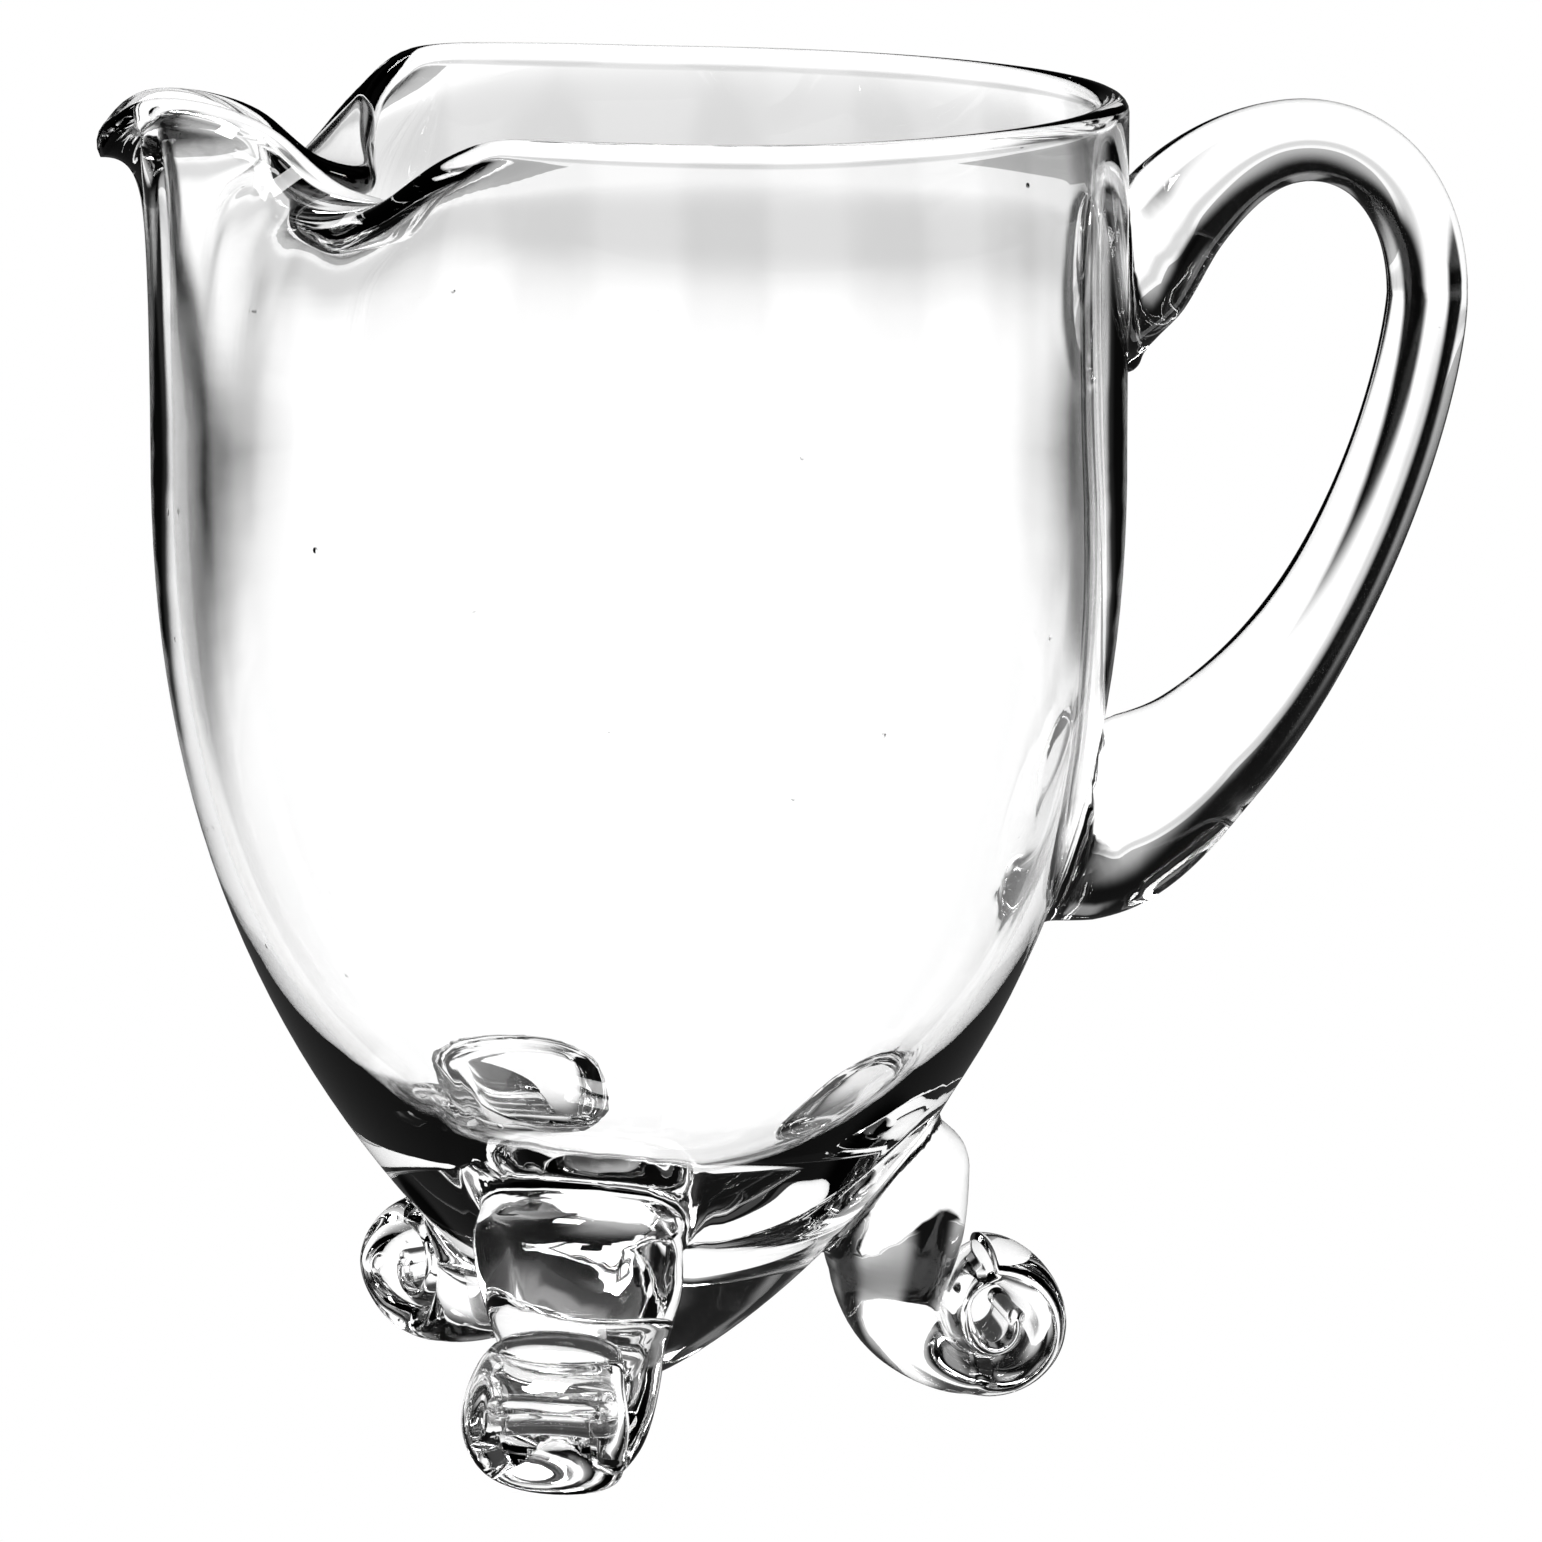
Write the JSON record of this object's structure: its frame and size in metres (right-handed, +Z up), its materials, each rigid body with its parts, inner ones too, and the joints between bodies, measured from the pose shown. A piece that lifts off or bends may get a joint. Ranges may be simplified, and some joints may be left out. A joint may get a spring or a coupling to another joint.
{
  "type": "footed glass pitcher",
  "caption": "Clear glass pitcher with an egg-shaped body, a pinched pouring spout, a looped handle and feet that curl outward into scrolls.",
  "frame": {"origin": "centre of the three feet on the surface that the pitcher stands on, on the body's axis", "axes": "+Z up along the body's axis, +X towards the handle, -X towards the spout"},
  "size_m": [0.2231, 0.156, 0.2156],
  "materials": {
    "glass": "clear, fire-polished"
  },
  "bodies": {
    "root": {"pitcher": "glass"}
  },
  "joints": []
}
